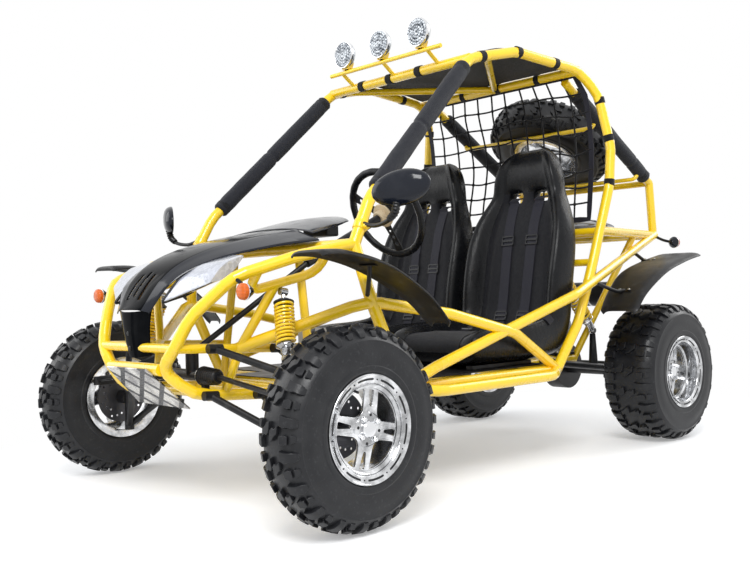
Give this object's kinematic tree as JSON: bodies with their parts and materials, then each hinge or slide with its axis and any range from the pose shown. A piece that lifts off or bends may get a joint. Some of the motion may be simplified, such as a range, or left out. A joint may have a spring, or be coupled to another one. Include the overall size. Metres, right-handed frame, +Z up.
{
  "type": "dune buggy",
  "caption": "Two-seat off-road dune buggy with a yellow tube frame, knobby tyres, bucket seats, roof lamps and a spare wheel on the rear rack.",
  "frame": {"origin": "on the ground, midway between the axles on the centre line", "axes": "-Y forward, +X to the driver's side (the vehicle's left), +Z up"},
  "size_m": [1.486, 2.4347, 1.631],
  "materials": {
    "frame_yellow": "gloss",
    "black_steel": "satin",
    "bright_steel": "satin",
    "spring_yellow": "gloss",
    "tyre": "matt",
    "alloy": "polished",
    "black_plastic": "satin",
    "gloss_black": "gloss",
    "lamp_glass": "clear",
    "chrome": "polished",
    "amber_plastic": "clear",
    "bright_plate": "brushed",
    "engine_metal": "cast",
    "seat_vinyl": "satin",
    "webbing": "woven",
    "foam_cover": "woven"
  },
  "bodies": {
    "chassis": {"side_frame_left": "frame_yellow", "side_frame_right": "frame_yellow", "roof_bars": "frame_yellow", "floor_frame": "frame_yellow", "nose_frame": "frame_yellow", "rear_frame": "frame_yellow", "front_arms": "black_steel", "rear_arm": "black_steel", "steering_gear": "black_steel", "front_shocks": "spring_yellow", "rear_shocks": "spring_yellow", "pedals": "bright_steel", "spare_tyre": "tyre", "spare_rim": "alloy", "mirrors": "black_plastic", "front_fenders": "black_plastic", "rear_fenders": "black_plastic", "nose_cover": "gloss_black", "instrument_pod": "black_plastic", "headlamps": "lamp_glass", "roof_lamps": "chrome", "signal_lamps": "amber_plastic", "skid_plate": "bright_plate", "floor_pan": "black_steel", "engine": "engine_metal", "fuel_tank": "black_plastic", "exhaust": "black_steel", "seat_left": "seat_vinyl", "seat_right": "seat_vinyl", "harnesses": "webbing", "foam_pads": "foam_cover", "roof_canopy": "webbing", "rear_net": "webbing"},
    "knuckle_left": {"knuckle_left": "black_steel"},
    "knuckle_right": {"knuckle_right": "black_steel"},
    "front_wheel_left": {"front_tyre_left": "tyre", "front_rim_left": "alloy"},
    "front_wheel_right": {"front_tyre_right": "tyre", "front_rim_right": "alloy"},
    "rear_wheels": {"rear_axle": "bright_steel", "rear_tyre_left": "tyre", "rear_rim_left": "alloy", "rear_tyre_right": "tyre", "rear_rim_right": "alloy"},
    "steering_wheel": {"steering_wheel": "black_plastic"},
    "rack": {"rack_bar": "black_steel"}
  },
  "joints": [
    {"name": "steer_left", "type": "hinge", "parent": "chassis", "child": "knuckle_left", "pos_m": [0.556, -0.925, 0.279], "axis": [0, 0, 1], "range_deg": [-28, 28]},
    {"name": "steer_right", "type": "hinge", "parent": "chassis", "child": "knuckle_right", "pos_m": [-0.556, -0.925, 0.279], "axis": [0, 0, 1], "range_deg": [-28, 28]},
    {"name": "front_left_spin", "type": "hinge", "parent": "knuckle_left", "child": "front_wheel_left", "pos_m": [0.665, -0.925, 0.279], "axis": [1, 0, 0], "continuous": true},
    {"name": "front_right_spin", "type": "hinge", "parent": "knuckle_right", "child": "front_wheel_right", "pos_m": [-0.665, -0.925, 0.279], "axis": [1, 0, 0], "continuous": true},
    {"name": "rear_spin", "type": "hinge", "parent": "chassis", "child": "rear_wheels", "pos_m": [0, 0.925, 0.279], "axis": [1, 0, 0], "continuous": true},
    {"name": "wheel_turn", "type": "hinge", "parent": "chassis", "child": "steering_wheel", "pos_m": [0.255, -0.38, 0.905], "axis": [0, -0.9009, -0.434], "range_deg": [-210, 210]},
    {"name": "rack_slide", "type": "slide", "parent": "chassis", "child": "rack", "axis": [1, 0, 0], "range_m": [-0.058, 0.058]}
  ],
  "couplings": [
    {"joint": "steer_right", "follows": "steer_left", "ratio": 1},
    {"joint": "wheel_turn", "follows": "steer_left", "ratio": -7.5},
    {"joint": "rack_slide", "follows": "steer_left", "m_per_rad": 0.1175}
  ]
}
